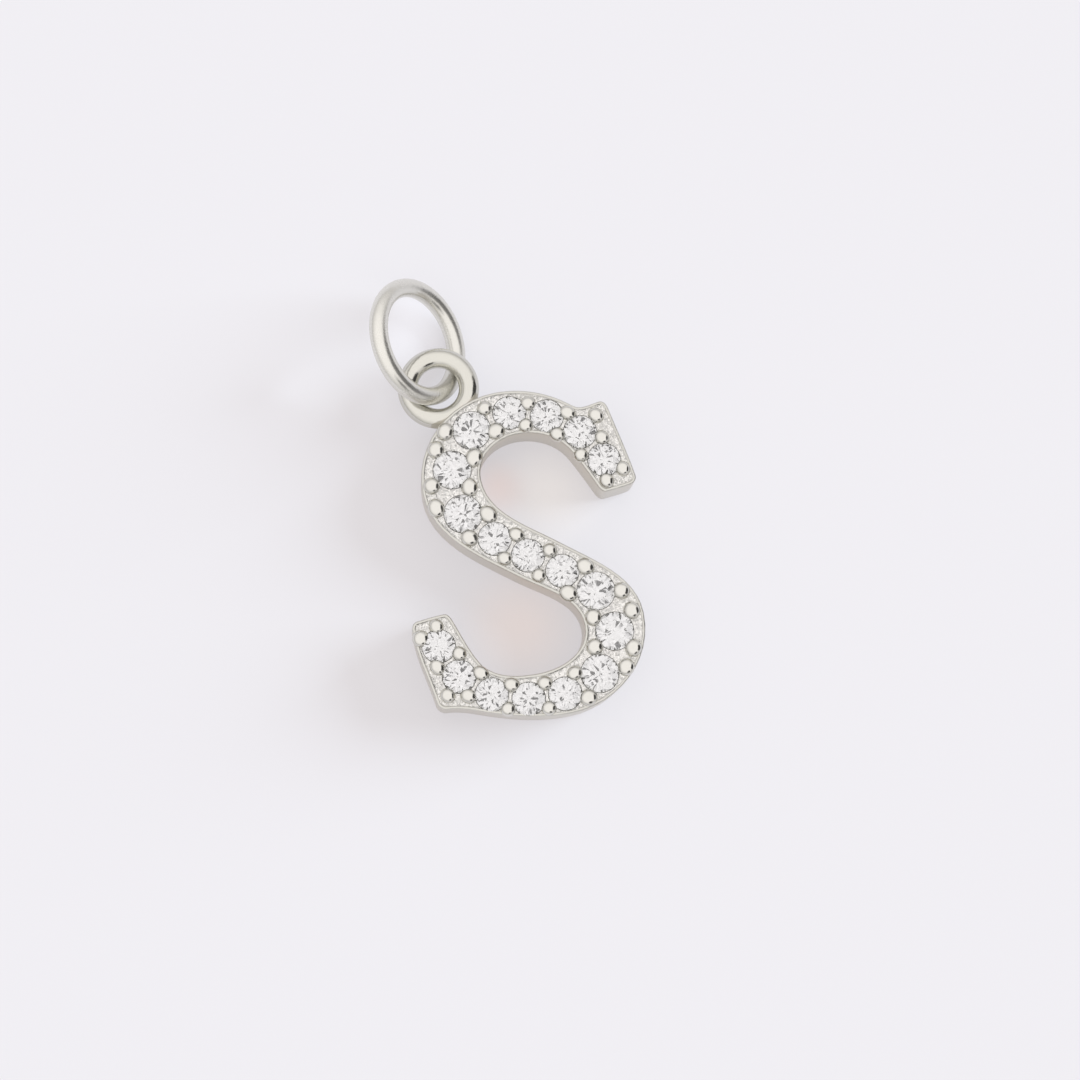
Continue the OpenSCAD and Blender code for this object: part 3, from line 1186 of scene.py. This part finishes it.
def hang_key(floor):
    """The key light, linked to the floor alone."""
    aim = sky_direction(KEY_AZIMUTH, KEY_ELEVATION)
    bpy.ops.object.light_add(type="SUN", location=aim * FLOOR_SIZE)
    key = bpy.context.object
    key.name = "key_light"
    key.rotation_mode = "QUATERNION"
    key.rotation_quaternion = (-aim).to_track_quat("-Z", "Y")
    key.data.angle = math.radians(KEY_SPREAD)
    key.data.energy, key.data.color = KEY_STRENGTH, KEY_COLOUR
    key.visible_glossy = key.visible_transmission = False
    lit = bpy.data.collections.new("lit_by_key")
    lit.objects.link(floor)
    key.light_linking.receiver_collection = lit


def set_camera():
    """The camera at the photograph's viewing angle."""
    bpy.ops.object.camera_add()
    camera = bpy.context.object
    camera.name = "camera"
    back = sky_direction(180 - CAMERA_AZIMUTH, CAMERA_ELEVATION)
    up = sky_direction(CAMERA_UP_TURN, 0)
    across = up.cross(back).normalized()
    turn = Matrix((across, back.cross(across), back)).transposed()
    camera.rotation_mode = "QUATERNION"
    camera.rotation_quaternion = turn.to_quaternion()
    camera.location = TARGET + CAMERA_DISTANCE * back
    camera.data.lens, camera.data.sensor_width = CAMERA_LENS, SENSOR
    camera.data.clip_start, camera.data.clip_end = 1 * MM, 2 * FLOOR_SIZE
    bpy.context.scene.camera = camera


class CHARM_OT_stage(bpy.types.Operator):
    """Lays the floor, hangs the lights and sets up the camera"""

    bl_idname = "charm.stage"
    bl_label = "Stage"

    def execute(self, context):
        floor = lay_floor()
        studio_world()
        hang_key(floor)
        set_camera()
        scene = bpy.context.scene
        scene.view_settings.view_transform = "Standard"
        scene.cycles.max_bounces = ALL_BOUNCES
        scene.cycles.glossy_bounces = MIRROR_BOUNCES
        scene.cycles.transmission_bounces = MIRROR_BOUNCES
        return {"FINISHED"}


class CHARM_PT_sidebar(bpy.types.Panel):
    """Sizes and colours of the charm, and a button for each piece"""

    bl_label = "Charm"
    bl_idname = "CHARM_PT_sidebar"
    bl_space_type = "VIEW_3D"
    bl_region_type = "UI"
    bl_category = "Charm"

    def draw(self, context):
        for group in GROUPS:
            box = self.layout.box()
            box.label(text=group.capitalize())
            for name in sizes(group).bl_rna.properties.keys():
                if name not in ("rna_type", "name"):
                    box.prop(sizes(group), name)
        for operator in OPERATORS:
            self.layout.operator(operator.bl_idname)


GROUPS = {
    "letter": CharmLetter, "stones": CharmStones, "ring": CharmRing, "finish": CharmFinish,
}
OPERATORS = (CHARM_OT_letter, CHARM_OT_jump_ring, CHARM_OT_stones, CHARM_OT_stage)
CLASSES = (*GROUPS.values(), *OPERATORS, CHARM_PT_sidebar)


def register():
    """Adds the classes and the scene's values."""
    for item in CLASSES:
        bpy.utils.register_class(item)
    for name, group in GROUPS.items():
        setattr(bpy.types.Scene, "charm_" + name, bpy.props.PointerProperty(type=group))


def unregister():
    """Removes the scene's values and the classes."""
    for name in GROUPS:
        delattr(bpy.types.Scene, "charm_" + name)
    for item in reversed(CLASSES):
        bpy.utils.unregister_class(item)


def main():
    """Registers the add-on, makes every piece and works out the sizes."""
    register()
    bpy.ops.charm.letter()
    bpy.ops.charm.jump_ring()
    bpy.ops.charm.stones()
    bpy.ops.charm.stage()
    boxes = {"cad": cad_box, "visual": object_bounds()}
    {name: [list(corner) for corner in box] for name, box in boxes.items()}


if __name__ == "__main__":
    main()
